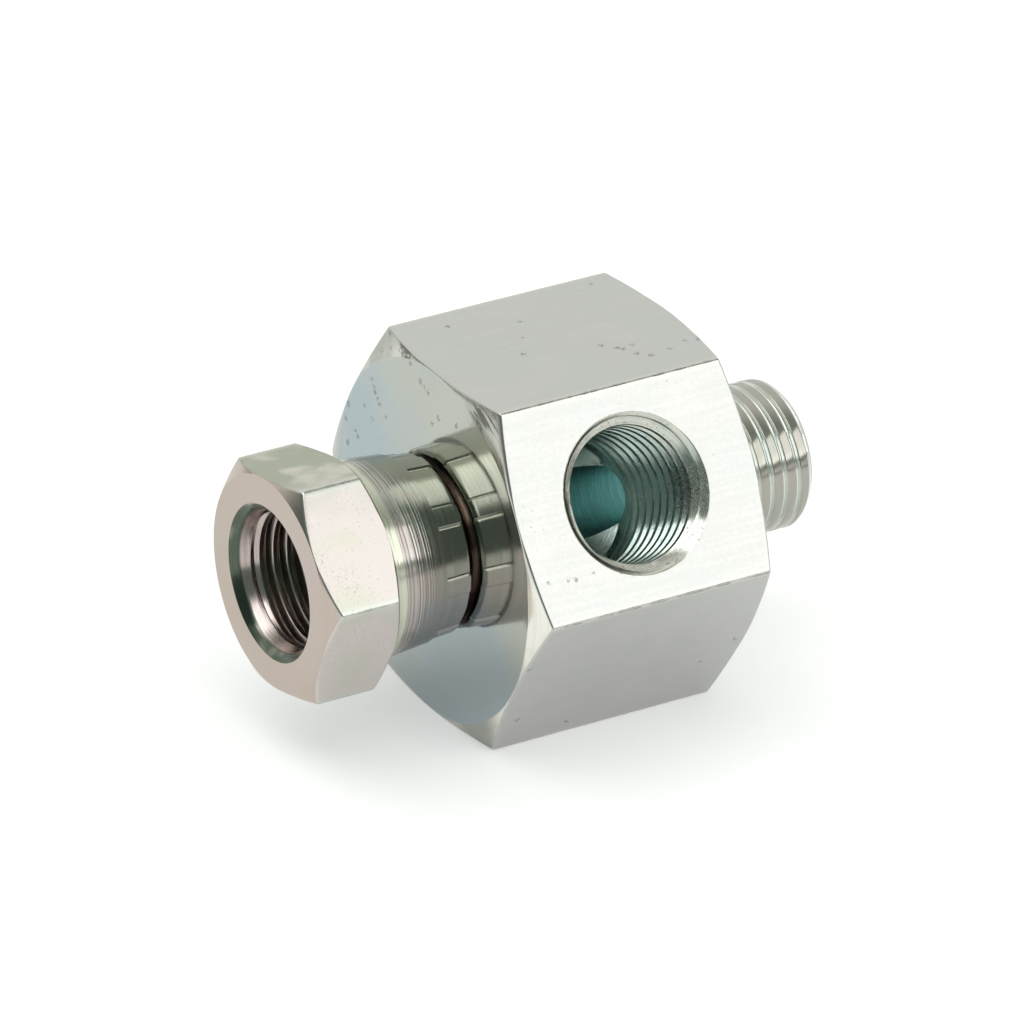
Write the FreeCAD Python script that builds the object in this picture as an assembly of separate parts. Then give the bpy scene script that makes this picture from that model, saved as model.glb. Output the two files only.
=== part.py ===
import FreeCAD, Part
import math
import os

from FreeCAD import Vector

# Inline test point adapter, in millimetres and degrees.
# The flow axis runs along X, from the swivel nut at -X to the male stud at +X.
# The adapter rests on one flat of its body. The origin is on that flat, straight under the point
# where the flow axis and the axis of the test port cross.

# Hexagon bar that the body is turned from
body_across_flats = 32.0
body_hex_length = 23.2
body_face_margin = 0.1
body_chamfer_angle = 20.0

# Thread form: 55 degree flanks with round crests and roots, its height as a share of the pitch
thread_pitch = 1.337
thread_height_share = 0.640327

# Thread of the line, male on the stud and female in the nut: G1/4
line_thread_major = 13.157

# Thread of the test port: G1/4
port_thread_major = 13.157

# Stud
stud_length = 11.15
stud_end_chamfer = 0.8
stud_end_land = 0.78
stud_relief_undercut = 0.12
stud_relief_pitches = 1.5
stud_relief_angle = 45.0
cone_seat_angle = 60.0

# Flow bore through the body
flow_bore_diameter = 6.4
bore_mouth_chamfer = 0.3

# Test port
port_angle = 60.0
port_drill_depth = 14.0
port_drill_point_angle = 118.0
thread_mouth_margin = 0.3

# Swivel nut
nut_across_flats = 19.0
nut_hex_length = 7.2
nut_chamfer_angle = 30.0
nut_face_margin = 0.05
nut_turn = -8.8
nut_thread_length = 7.75
nut_chamber_diameter = 14.0
nut_face_gap = 0.5

# Collar behind the hexagon of the nut, its walls round the chamber
collar_length = 8.05
collar_root_wall = 1.75
collar_waist_wall = 1.25

# Rear band of the collar, crimped in behind the flange of the stem
crimp_band_width = 2.7
crimp_band_wall = 1.1
crimp_lip_hold = 0.8
crimp_lip_wall = 1.75
crimp_rear_bevel = 0.3
crimp_taper_angle = 45.0

# Press marks that the jaws of the crimping tool leave
jaw_count = 8
jaw_ridge_angle = 14.5
jaw_depth = 0.16
jaw_phase = 2.3

# Stem that the nut turns on, with its retaining flange and cone nose
neck_clearance = 0.3
swivel_clearance = 0.15
swivel_axial_clearance = 0.3
nose_setback = 0.3
nose_tip_land = 0.4
nose_base_diameter = 10.4

# Room by which a cutting tool runs past what it cuts
tool_overrun = 1.0

flow_axis_height = body_across_flats / 2
flow_axis = Vector(1, 0, 0)
body_right_x = body_hex_length / 2
body_left_x = -body_right_x
stud_end_x = body_right_x + stud_length
nut_rear_x = body_left_x - nut_face_gap
nut_hex_rear_x = nut_rear_x - collar_length
nut_front_x = nut_hex_rear_x - nut_hex_length
nut_chamber_x = nut_front_x + nut_thread_length
crimp_band_x = nut_rear_x - crimp_band_width
nose_tip_x = nut_chamber_x + nose_setback

thread_height = thread_height_share * thread_pitch
line_crest_radius = line_thread_major / 2
line_root_radius = line_crest_radius - thread_height
port_crest_radius = port_thread_major / 2
port_root_radius = port_crest_radius - thread_height

chamber_radius = nut_chamber_diameter / 2
lip_radius = chamber_radius - crimp_lip_hold
lip_outer_radius = lip_radius + crimp_lip_wall
band_radius = chamber_radius + crimp_band_wall
collar_root_radius = chamber_radius + collar_root_wall
collar_waist_radius = chamber_radius + collar_waist_wall


def turned(profile):
    """Solid of revolution about the flow axis, from a closed outline of (x, radius) points."""
    corners = [Vector(x, 0, flow_axis_height + radius) for x, radius in profile]
    face = Part.Face(Part.makePolygon(corners + corners[:1]))
    return face.revolve(Vector(0, 0, flow_axis_height), flow_axis, 360)


def hexagon_bar(across_flats, x_start, x_end, turn):
    """Hexagon bar on the flow axis, turned about it from having a flat on top."""
    corner_radius = across_flats / 2 / math.cos(math.radians(30))
    angles = [math.radians(30 + 60 * k + turn) for k in range(6)]
    corners = [
        Vector(
            x_start,
            -corner_radius * math.sin(a),
            flow_axis_height + corner_radius * math.cos(a),
        )
        for a in angles
    ]
    face = Part.Face(Part.makePolygon(corners + corners[:1]))
    return face.extrude(Vector(x_end - x_start, 0, 0))


def chamfered_hexagon(
    across_flats, x_start, x_end, face_margin, chamfer_angle, turn=0.0
):
    """Hexagon bar with both ends turned to a cone, which leaves an arc on each flat."""
    face_radius = across_flats / 2 - face_margin
    outer_radius = across_flats / math.sqrt(3) + tool_overrun
    rise = (outer_radius - face_radius) * math.tan(math.radians(chamfer_angle))
    envelope = turned(
        [
            (x_start, 0),
            (x_start, face_radius),
            (x_start + rise, outer_radius),
            (x_end - rise, outer_radius),
            (x_end, face_radius),
            (x_end, 0),
        ]
    )
    return hexagon_bar(across_flats, x_start, x_end, turn).common(envelope)


def stud():
    """Male stud with a relief at its root and a chamfer at its end, thread as a plain cylinder."""
    crest = line_crest_radius
    root = line_root_radius - stud_relief_undercut
    relief_end_x = body_right_x + stud_relief_pitches * thread_pitch
    runout = (crest - root) / math.tan(math.radians(stud_relief_angle))
    return turned(
        [
            (body_right_x - tool_overrun, 0),
            (body_right_x - tool_overrun, root),
            (relief_end_x, root),
            (relief_end_x + runout, crest),
            (stud_end_x - stud_end_chamfer, crest),
            (stud_end_x, crest - stud_end_chamfer),
            (stud_end_x, 0),
        ]
    )


def stem():
    """Stem under the swivel nut: neck, retaining flange with a sloping back, and cone nose."""
    neck = lip_radius - neck_clearance
    flange = chamber_radius - swivel_clearance
    base = nose_base_diameter / 2
    tip = flow_bore_diameter / 2 + bore_mouth_chamfer + nose_tip_land
    nose_length = (base - tip) / math.tan(math.radians(cone_seat_angle / 2))
    slope = 1 / math.tan(math.radians(crimp_taper_angle))
    chamber_end_x = crimp_band_x - swivel_axial_clearance
    flange_back_x = chamber_end_x + swivel_clearance * slope
    return turned(
        [
            (body_left_x + tool_overrun, 0),
            (body_left_x + tool_overrun, neck),
            (flange_back_x + (flange - neck) * slope, neck),
            (flange_back_x, flange),
            (nose_tip_x + nose_length, flange),
            (nose_tip_x + nose_length, base),
            (nose_tip_x, tip),
            (nose_tip_x, 0),
        ]
    )


def flow_bore_tool():
    """Cutter for the flow bore, with the cone seat in the stud's mouth and a broken edge at the nose."""
    bore = flow_bore_diameter / 2
    seat = line_crest_radius - stud_end_chamfer - stud_end_land
    seat_slope = math.tan(math.radians(cone_seat_angle / 2))
    seat_depth = (seat - bore) / seat_slope
    return turned(
        [
            (nose_tip_x - tool_overrun, 0),
            (nose_tip_x - tool_overrun, bore + bore_mouth_chamfer + tool_overrun),
            (nose_tip_x + bore_mouth_chamfer, bore),
            (stud_end_x - seat_depth, bore),
            (stud_end_x + tool_overrun, seat + tool_overrun * seat_slope),
            (stud_end_x + tool_overrun, 0),
        ]
    )


def port_tool():
    """Cutter for the test port: countersunk mouth, thread as a plain bore, and drill point."""
    tilt = math.radians(port_angle)
    outward = Vector(0, -math.sin(tilt), math.cos(tilt))
    mouth = Vector(0, 0, flow_axis_height) + outward * (body_across_flats / 2)
    bore = port_root_radius
    sink = port_crest_radius + thread_mouth_margin
    point_length = bore / math.tan(math.radians(port_drill_point_angle / 2))
    shaft = Part.makeCylinder(
        bore,
        port_drill_depth + tool_overrun,
        mouth + outward * tool_overrun,
        outward * -1,
    )
    countersink = Part.makeCone(
        sink + tool_overrun,
        bore,
        sink + tool_overrun - bore,
        mouth + outward * tool_overrun,
        outward * -1,
    )
    point = Part.makeCone(
        bore, 0, point_length, mouth - outward * port_drill_depth, outward * -1
    )
    return shaft.fuse([countersink, point])


def adapter_body():
    """Body in one piece: hexagon, stud and stem, with the flow bore and the test port cut in."""
    blank = chamfered_hexagon(
        body_across_flats,
        body_left_x,
        body_right_x,
        body_face_margin,
        body_chamfer_angle,
    )
    blank = blank.fuse([stud(), stem()]).removeSplitter()
    return blank.cut(flow_bore_tool()).cut(port_tool())


def jaw_marks():
    """Cutters for the shallow presses of the crimping jaws, one sector for each jaw."""
    press_angle = 360 / jaw_count - jaw_ridge_angle
    front = band_radius - jaw_depth
    rear = lip_outer_radius - jaw_depth
    reach = max(band_radius, lip_outer_radius) + tool_overrun
    outline = [
        (crimp_band_x, front),
        (nut_rear_x, rear),
        (nut_rear_x + tool_overrun, rear),
        (nut_rear_x + tool_overrun, reach),
        (crimp_band_x, reach),
    ]
    corners = [Vector(x, 0, flow_axis_height + radius) for x, radius in outline]
    face = Part.Face(Part.makePolygon(corners + corners[:1]))
    centre = Vector(0, 0, flow_axis_height)
    marks = []
    for jaw in range(jaw_count):
        start = jaw_phase + jaw_ridge_angle / 2 + 360 * jaw / jaw_count
        mark = face.copy()
        mark.rotate(centre, flow_axis, start)
        marks.append(mark.revolve(centre, flow_axis, press_angle))
    return marks


def nut_bore_tool():
    """Cutter inside the nut: mouth, thread as a plain bore, chamber, and crimped-in rear lip."""
    bore = line_root_radius
    sink = line_crest_radius + thread_mouth_margin
    taper_length = crimp_lip_hold / math.tan(math.radians(crimp_taper_angle))
    return turned(
        [
            (nut_front_x - tool_overrun, 0),
            (nut_front_x - tool_overrun, sink + tool_overrun),
            (nut_front_x + sink - bore, bore),
            (nut_chamber_x, bore),
            (nut_chamber_x, chamber_radius),
            (crimp_band_x, chamber_radius),
            (crimp_band_x + taper_length, lip_radius),
            (nut_rear_x + tool_overrun, lip_radius),
            (nut_rear_x + tool_overrun, 0),
        ]
    )


def swivel_nut():
    """Nut in one piece: hexagon with cone ends, tapering collar and crimped band, bored through."""
    hexagon = chamfered_hexagon(
        nut_across_flats,
        nut_front_x,
        nut_hex_rear_x,
        nut_face_margin,
        nut_chamfer_angle,
        nut_turn,
    )
    collar = turned(
        [
            (nut_hex_rear_x - tool_overrun, 0),
            (nut_hex_rear_x - tool_overrun, collar_root_radius),
            (nut_hex_rear_x, collar_root_radius),
            (crimp_band_x, collar_waist_radius),
            (crimp_band_x, band_radius),
            (nut_rear_x - crimp_rear_bevel, lip_outer_radius),
            (nut_rear_x, lip_outer_radius - crimp_rear_bevel),
            (nut_rear_x, 0),
        ]
    )
    blank = hexagon.fuse(collar).removeSplitter()
    return blank.cut(jaw_marks()).cut(nut_bore_tool())


def main():
    """Write each piece to its own STEP file."""
    os.makedirs("parts", exist_ok=True)
    pieces = {"adapter_body": adapter_body(), "swivel_nut": swivel_nut()}
    for name, shape in pieces.items():
        solids = shape.Solids
        piece = solids[0] if len(solids) == 1 else shape
        print(f"{name}: {len(solids)} solid, volume {shape.Volume:.3f} mm3, valid {shape.isValid()}")
        piece.exportStep(f"parts/{name}.step")


main()
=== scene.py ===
# %% [markdown]
# # Test point adapter
# A hydraulic fitting of zinc plated steel: a hexagon body with a threaded test port in one flat, a
# male stud at one end and a swivel nut crimped on at the other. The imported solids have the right
# outline but plain cylinders where the threads are, and no tool marks. Both pieces are made again
# here as one closed skin each, with real helical threads, softened edges and turned rings, and they
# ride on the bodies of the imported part.

# %% The fixed frame
import math

import bmesh
import bpy
import numpy as np
from mathutils import Matrix, Vector


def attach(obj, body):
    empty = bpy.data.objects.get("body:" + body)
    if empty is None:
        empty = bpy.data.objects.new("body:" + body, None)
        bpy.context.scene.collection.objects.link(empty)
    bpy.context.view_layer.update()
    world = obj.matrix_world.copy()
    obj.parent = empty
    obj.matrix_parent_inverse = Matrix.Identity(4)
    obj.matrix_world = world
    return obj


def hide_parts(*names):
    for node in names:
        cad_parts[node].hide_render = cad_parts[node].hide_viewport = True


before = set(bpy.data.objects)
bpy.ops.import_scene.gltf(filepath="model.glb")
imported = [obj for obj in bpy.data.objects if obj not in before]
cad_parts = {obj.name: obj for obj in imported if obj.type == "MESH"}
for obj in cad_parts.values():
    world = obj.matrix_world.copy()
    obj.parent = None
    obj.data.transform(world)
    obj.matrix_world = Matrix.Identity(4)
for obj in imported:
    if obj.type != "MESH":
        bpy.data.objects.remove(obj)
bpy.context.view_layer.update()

# %% [markdown]
# ## Sizes
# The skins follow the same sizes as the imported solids, in millimetres, and become metres only when
# a mesh is written. The flow axis runs along X at the height of half the body's width across flats.
# An angle about it is counted from straight up towards -Y, which is a right-handed turn about +X,
# so a right-hand thread climbs along +X as the angle grows.

# %% Sizes of the body and the nut
METRES = 0.001
FLOW_HEIGHT = 16.0
BODY_APOTHEM = 16.0
BODY_END = 11.6
BODY_FACE_RADIUS = 15.9
BODY_CHAMFER = math.radians(20)
BODY_EDGE_ROUND = 0.3
END_EDGE_ROUND = 0.16

NUT_APOTHEM = 9.5
NUT_FRONT = -27.35
NUT_HEX_REAR = -20.15
NUT_REAR = -12.1
NUT_FACE_RADIUS = 9.45
NUT_CHAMFER = math.radians(30)
NUT_TURN = math.radians(-8.8)
NUT_EDGE_ROUND = 0.3

PITCH = 1.337
FLANK_ANGLE = math.radians(27.5)
CREST_RADIUS = 13.157 / 2
THREAD_HEIGHT = 0.640327 * PITCH
ROOT_RADIUS = CREST_RADIUS - THREAD_HEIGHT
MOUTH_BEVEL = 0.3
MOUTH_EDGE = 0.08
MOUTH_RADIUS = CREST_RADIUS + 0.3
BORE_RADIUS = 3.2

PORT_ANGLE = math.radians(60)
PORT_DEPTH = 14.0
DRILL_SLOPE = math.tan(math.radians(59))

SIXTH = math.radians(60)
TWELFTH = math.radians(30)
CORNER_REACH = 2.4
FULL_TURN = 2 * math.pi

# %% [markdown]
# ## Sheets that close into a skin
# A turned or milled piece is a chain of simple surfaces. Each one is worked out as a grid: rows
# follow the profile and columns go round, and every point comes from a formula in the two.
# Neighbouring sheets end on the same points, so merging doubles closes the seams. Where two sheets
# have different numbers of columns, a zip of triangles joins them.

# %% The skin
MERGE_DISTANCE = 1e-6
SLIVER_LENGTH = 1e-7
SHARP_EDGE = math.radians(25)


class Skin:
    """Sheets of one piece: points in millimetres, a map of (turns or mm, mm) and a finish for each.
    Its turned sheets share the angles of their columns."""

    def __init__(self, angle):
        self.angle = angle
        self.points, self.maps, self.faces, self.finishes = [], [], [], []
        self.total = 0

    def add(self, points, plane_map, faces, finish):
        """Keeps a sheet: (n, 3) points, (n, 2) map, (f, 4) faces; a triangle's last corner is -1."""
        self.points.append(points)
        self.maps.append(plane_map)
        self.faces.append(np.where(faces >= 0, faces + self.total, -1))
        self.finishes.append(np.full(len(faces), finish))
        self.total += len(points)

    def sheet(self, points, plane_map, finish):
        """A grid of rows and columns: corner (i, j) with (i, j + 1), (i + 1, j + 1) and (i + 1, j)."""
        rows, columns = points.shape[:2]
        index = np.arange(rows * columns).reshape(rows, columns)
        corners = [index[:-1, :-1], index[:-1, 1:], index[1:, 1:], index[1:, :-1]]
        quads = np.stack(corners, axis=-1).reshape(-1, 4)
        self.add(points.reshape(-1, 3), plane_map.reshape(-1, 2), quads, finish)

    def zip(self, first, first_angle, second, second_angle, plane_map, finish):
        """Triangles between two chains with rising angles: one a short edge, in order of its angle."""
        mids = [0.5 * (a[1:] + a[:-1]) for a in (first_angle, second_angle)]
        order = np.argsort(np.concatenate(mids), kind="stable")
        of_first = order < len(mids[0])
        i = np.cumsum(of_first) - of_first
        j = np.cumsum(~of_first) - ~of_first
        near = i + of_first
        far = len(first) + j
        third = np.where(of_first, near, far + 1)
        triangles = np.stack([i, third, far, np.full(len(i), -1)], axis=-1)
        self.add(np.concatenate([first, second]), plane_map, triangles, finish)


def linked(name, data):
    """A new object in the scene that shows a mesh, a light or a camera."""
    made = bpy.data.objects.new(name, data)
    bpy.context.scene.collection.objects.link(made)
    return made


def build_piece(name, skin, materials):
    """One mesh object from a skin: seams merged, normals outward, edges over SHARP_EDGE sharp."""
    points = np.concatenate(skin.points) * METRES
    plane_map = np.concatenate(skin.maps)
    faces = np.concatenate(skin.faces)
    finishes = np.concatenate(skin.finishes)
    corner_lists = [[c for c in face if c >= 0] for face in faces.tolist()]
    mesh = bpy.data.meshes.new(name)
    mesh.from_pydata(points.tolist(), [], corner_lists)
    for material in materials:
        mesh.materials.append(material)
    mesh.polygons.foreach_set("material_index", finishes.astype(np.int32))
    corners = np.empty(len(mesh.loops), np.int32)
    mesh.loops.foreach_get("vertex_index", corners)
    layer = mesh.uv_layers.new(name="surface")
    layer.uv.foreach_set("vector", plane_map[corners].astype(np.float32).ravel())
    work = bmesh.new()
    work.from_mesh(mesh)
    bmesh.ops.remove_doubles(work, verts=work.verts, dist=MERGE_DISTANCE)
    bmesh.ops.dissolve_degenerate(work, edges=work.edges, dist=SLIVER_LENGTH)
    bmesh.ops.recalc_face_normals(work, faces=work.faces)
    open_edges = sum(1 for edge in work.edges if not edge.is_manifold)
    volume = work.calc_volume(signed=True) / METRES**3
    work.to_mesh(mesh)
    work.free()
    mesh.shade_smooth()
    mesh.set_sharp_from_angle(angle=SHARP_EDGE)
    piece = linked(name, mesh)
    mesh.calc_loop_triangles()
    print(f"{name}: {len(mesh.loop_triangles)} triangles, {open_edges} open edges, {volume:.1f} mm3")
    return piece


# %% [markdown]
# ## Turned surfaces, rounded hexagons and threads
# Three formulas carry the whole object. A turned surface takes a profile round the flow axis. A
# hexagon is a turned surface whose radius changes with the angle. A thread is a flat-topped form
# that its rows carry along a helix, and the blank's own profile cuts it off, as a real die or tap
# finds it.

# %% The three formulas


def around(x, radius, angle):
    """Points round the flow axis: y = -radius * sin(angle), z = height + radius * cos(angle)."""
    x, radius, angle = np.broadcast_arrays(x, radius, angle)
    return np.stack([x, -radius * np.sin(angle), FLOW_HEIGHT + radius * np.cos(angle)], axis=-1)


def around_map(x, radius, angle):
    """Map for tool marks: turns about the axis, and millimetres along the profile."""
    x, radius, angle = np.broadcast_arrays(x, radius, angle)
    steps = np.hypot(np.diff(x, axis=0), np.diff(radius, axis=0))
    along = np.concatenate([np.zeros((1, x.shape[1])), np.cumsum(steps, axis=0)])
    return np.stack([angle / FULL_TURN, along + x[:1] * 0.37 + radius[:1]], axis=-1)


def turned(skin, x, radius, finish):
    """Sheet carried round the flow axis, with its x and radius for each row and column."""
    skin.sheet(around(x, radius, skin.angle), around_map(x, radius, skin.angle), finish)


def revolved(skin, profile, finish):
    """Sheet of one profile, rows of (x, radius), all the way round."""
    profile = np.asarray(profile, float)[:, :, None]
    turned(skin, profile[:, 0], profile[:, 1], finish)


def softened(profile, size):
    """A profile whose inner corners B are curves (1-t)^2 A + 2t(1-t) B + t^2 C, cut back by size."""
    p = np.asarray(profile, float)
    leg = np.diff(p, axis=0)
    length = np.hypot(leg[:, 0], leg[:, 1])
    unit = leg / length[:, None]
    cut = np.minimum(size, 0.45 * np.minimum(length[:-1], length[1:]))[:, None]
    start = p[1:-1] - unit[:-1] * cut
    end = p[1:-1] + unit[1:] * cut
    t = np.linspace(0, 1, 4)[None, :, None]
    curve = (1 - t) ** 2 * start[:, None] + 2 * t * (1 - t) * p[1:-1, None] + t**2 * end[:, None]
    return np.concatenate([p[:1], curve.reshape(-1, 2), p[-1:]])


def hexagon_radius(angle, apothem, edge_round, turn):
    """Rim of a hexagon with round corners: apothem / cos(f) on a flat, f counted from its middle, and
    c cos(g) + sqrt(round^2 - c^2 sin(g)^2) on a corner's arc, g counted from the corner."""
    from_middle = np.abs((angle - turn + TWELFTH) % SIXTH - TWELFTH)
    from_corner = TWELFTH - from_middle
    centre = (apothem - edge_round) / math.cos(TWELFTH)
    slack = corner_slack(apothem, edge_round)
    arc = centre * np.cos(from_corner)
    arc = arc + np.sqrt(np.maximum(edge_round**2 - (centre * np.sin(from_corner)) ** 2, 0))
    return np.where(from_corner < slack, arc, apothem / np.cos(from_middle))


def corner_slack(apothem, edge_round):
    """Angle from a corner to where its arc meets the flat."""
    return TWELFTH - math.atan((apothem - edge_round) * math.tan(TWELFTH) / apothem)


def hexagon_columns(apothem, edge_round, turn):
    """Angles from -120 to 240 degrees, every two degrees, and closer at each rounded corner."""
    slack = corner_slack(apothem, edge_round)
    even = np.radians(np.arange(-120, 241, 2.0))
    corners = np.radians(np.arange(-90, 240, 60.0))
    near = corners[:, None] + slack * np.array([-CORNER_REACH, -1, -0.5, 0.5, 1, CORNER_REACH])
    return np.sort(np.concatenate([even, near.ravel()])) + turn


def hexagon_end(end, face_radius, chamfer, rim, edge_round, side):
    """Rows from the face circle up the end cone and over its edge on to the flat, a column an angle.
    The edge is a curve of the same kind as in softened()."""
    rise = rim - face_radius
    corner_x = end - side * rise * math.tan(chamfer)
    cone_length = rise / math.cos(chamfer)
    cut = np.minimum(edge_round, 0.4 * cone_length)
    cone_x, cone_r = side * math.sin(chamfer), -math.cos(chamfer)
    rows_x = [np.full_like(rim, end), corner_x + cone_x * 2 * cut]
    rows_r = [np.full_like(rim, face_radius), rim + cone_r * 2 * cut]
    for t in np.linspace(0, 1, 5):
        to_cone, to_flat = (1 - t) ** 2, t**2
        rows_x.append(corner_x + cut * (to_cone * cone_x - to_flat * side))
        rows_r.append(rim + cut * to_cone * cone_r)
    rows_x.append(corner_x - side * (cut + edge_round))
    rows_r.append(rim)
    return np.array(rows_x), np.array(rows_r)


def thread_form(top_share, bottom_share, soft):
    """One pitch of a thread as rows of (place, level) in millimetres: a flat top, a flank, a flat
    bottom and a flank again. The flats are shares of the pitch, and every corner is softened."""
    half = top_share / 2 * PITCH
    run = (1 - top_share - bottom_share) / 2 * PITCH
    level = run / math.tan(FLANK_ANGLE)
    corners = [(0, level), (half, level), (half + run, 0)]
    corners += [(PITCH - half - run, 0), (PITCH - half, level), (PITCH, level)]
    return softened(corners, soft)


def thread_level(length, angle, start, form):
    """Level of the thread at a length and an angle, read off one pitch of its form."""
    place = (length - start - PITCH * angle / FULL_TURN) % PITCH
    return np.interp(place, form[:, 0], form[:, 1])


def thread_lengths(low, high, angle, start, form):
    """Lengths for the rows of a thread: each row climbs with the angle and keeps its place on the
    form, held between low and high, so every crest and root is one clean helix."""
    first_turn = math.floor((np.min(low) - start) / PITCH) - 2
    last_turn = math.ceil((np.max(high) - start) / PITCH) + 2
    turns = np.arange(first_turn, last_turn)
    lead = start + (turns[:, None] * PITCH + form[None, :-1, 0]).ravel()
    return np.clip(lead[:, None] + PITCH * angle / FULL_TURN, low, high)


# %% [markdown]
# ## Body: hexagon and test port
# The body is turned from hexagon bar: each end is faced and given a cone, which leaves the arcs on
# the flats. The port's flat is one sheet between the port's mouth and the flat's outline. The port
# is countersunk, threaded and drilled, and its bore and drill point meet the flow bore on a curve
# that can be written down: a port column at angle psi reaches the flow bore where (R sin psi)^2 +
# s^2 = r^2, s being the height over the flow axis and R the radius of the port's cylinder or drill
# point there.

# %% Hexagon of the body
FLAT, TURNED, CONE, CLEAN_FACE, STEM, STUD_THREAD, STUD_GROOVE_PAINTED_LIGHT, PORT_THREAD, FLOW_BORE = range(9)
body_angle = hexagon_columns(BODY_APOTHEM, BODY_EDGE_ROUND, 0.0)
body_skin = Skin(body_angle)
body_rim = hexagon_radius(body_angle, BODY_APOTHEM, BODY_EDGE_ROUND, 0.0)
FLAT_ROWS = 24


def flat_map(x, radius, angle, turn):
    """Map for a flat: millimetres along it, and millimetres across it from its middle."""
    x, radius, angle = np.broadcast_arrays(x, radius, angle)
    across = radius * np.sin((angle - turn + TWELFTH) % SIXTH - TWELFTH)
    return np.stack([x, across], axis=-1)


def flats(skin, x, radius, angle, turn, finish):
    """Sheet that lies on the flats of a hexagon."""
    skin.sheet(around(x, radius, angle), flat_map(x, radius, angle, turn), finish)


def both_ends(skin, ends, face_radius, chamfer, rim, turn, cone, flat):
    """Cone and edge at the right and left end of a hexagon; gives back where its plain flats begin."""
    begins = []
    for side, end in zip((1, -1), ends):
        x, radius = hexagon_end(end, face_radius, chamfer, rim, END_EDGE_ROUND, side)
        turned(skin, x[:3], radius[:3], cone)
        flats(skin, x[2:], radius[2:], skin.angle, turn, flat)
        begins.append(x[-1])
    return begins


body_hexagon = (BODY_FACE_RADIUS, BODY_CHAMFER, body_rim, 0.0, CONE, FLAT)
right_x, left_x = both_ends(body_skin, (BODY_END, -BODY_END), *body_hexagon)
share = np.linspace(1, 0, FLAT_ROWS + 1)[:, None]
flat_x = share * right_x + (1 - share) * left_x
slack = corner_slack(BODY_APOTHEM, BODY_EDGE_ROUND)
first = np.argmin(np.abs(body_angle - (PORT_ANGLE - TWELFTH + CORNER_REACH * slack)))
last = np.argmin(np.abs(body_angle - (PORT_ANGLE + TWELFTH - CORNER_REACH * slack)))
for part in (slice(None, first + 1), slice(last, None)):
    flats(body_skin, flat_x[:, part], body_rim[part], body_angle[part], 0.0, FLAT)

# %% Port: its frame and the curve where it meets the flow bore
PORT_OUT = np.array([0, -math.sin(PORT_ANGLE), math.cos(PORT_ANGLE)])
PORT_UP = np.array([0, math.cos(PORT_ANGLE), math.sin(PORT_ANGLE)])
PORT_COLUMNS = 192
PORT_FLOOR = BODY_APOTHEM - PORT_DEPTH
DRILL_TIP = PORT_FLOOR - ROOT_RADIUS / DRILL_SLOPE
psi = np.linspace(-math.pi, math.pi, PORT_COLUMNS + 1)


def in_port(radius, angle, height):
    """Points of the port: radius * cos(angle) along X, radius * sin(angle) up the flat, height out."""
    radius, angle, height = np.broadcast_arrays(radius, angle, height)
    x = (radius * np.cos(angle))[..., None] * np.array([1.0, 0, 0])
    up = (radius * np.sin(angle))[..., None] * PORT_UP
    return x + up + height[..., None] * PORT_OUT + np.array([0, 0, FLOW_HEIGHT])


def meeting_height(angle):
    """Height over the flow axis at which a port column ends on the flow bore."""
    side_way = np.sin(angle) ** 2
    on_cylinder = BORE_RADIUS**2 - ROOT_RADIUS**2 * side_way
    k = DRILL_SLOPE**2 * side_way
    half = k * DRILL_TIP
    on_point = (half + np.sqrt(half**2 - (k + 1) * (k * DRILL_TIP**2 - BORE_RADIUS**2))) / (k + 1)
    return np.where(on_cylinder > PORT_FLOOR**2, np.sqrt(np.maximum(on_cylinder, 0)), on_point)


meeting = meeting_height(psi)
meeting_radius = np.where(meeting > PORT_FLOOR, ROOT_RADIUS, (meeting - DRILL_TIP) * DRILL_SLOPE)
print(f"port meets the flow bore {meeting.min():.2f} to {meeting.max():.2f} mm over the flow axis")

# %% Port: mouth, thread and drill point
THREAD_END = 3.6
THREAD_FADE = 1.2
PORT_START = BODY_APOTHEM + 0.45
TAP_OVERSIZE = 0.16
PORT_SINK = 0.5
PORT_TAPER = 0.3


def port_sheet(radius, height, finish):
    """Sheet of the port from rows of radius and height, its map in turns and millimetres."""
    radius, height, angle = np.broadcast_arrays(radius, height, psi)
    plane_map = np.stack([angle / FULL_TURN, height + radius], axis=-1)
    body_skin.sheet(in_port(radius, angle, height), plane_map, finish)


BRIM_RADIUS = MOUTH_RADIUS + 0.3
mouth = [(BRIM_RADIUS, 0), (MOUTH_RADIUS, 0), (MOUTH_RADIUS - MOUTH_BEVEL, -MOUTH_BEVEL)]
mouth = softened(mouth, MOUTH_EDGE)
brim = mouth[:2, :1]
brim_map = np.stack([brim * np.cos(psi), brim * np.sin(psi)], axis=-1)
body_skin.sheet(in_port(brim, psi, BODY_APOTHEM), brim_map, FLAT)
port_sheet(mouth[1:, :1], BODY_APOTHEM + mouth[1:, 1:], PORT_THREAD)

tapped = thread_form(0.10, 0.358, 0.08)


def tapped_radius(length, angle, start, deep, sink, taper, fade):
    """Radius of a tapped hole: the thread on its drilled root where fade is over 0, and a mouth that is
    a cone of 45 degrees, sink deep, and then a taper."""
    mouth = np.interp(deep, [0, sink, sink + taper], [MOUTH_RADIUS, MOUTH_RADIUS - sink, ROOT_RADIUS])
    level = thread_level(length, angle, start, tapped)
    return np.maximum(mouth, ROOT_RADIUS + np.clip(fade, 0, 1) * (TAP_OVERSIZE + level))


foot = np.maximum(meeting, PORT_FLOOR)
height = thread_lengths(foot, BODY_APOTHEM - MOUTH_BEVEL, psi, PORT_START, tapped)
deep = BODY_APOTHEM - height
fade = (height - THREAD_END) / THREAD_FADE
radius = tapped_radius(height, psi, PORT_START, deep, PORT_SINK, PORT_TAPER, fade)
port_sheet(radius, height, PORT_THREAD)

share = np.linspace(0, 1, 9)[:, None]
point_height = meeting * share + foot * (1 - share)
point_radius = meeting_radius * share + ROOT_RADIUS * (1 - share)
port_sheet(point_radius, point_height, PORT_THREAD)

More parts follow.
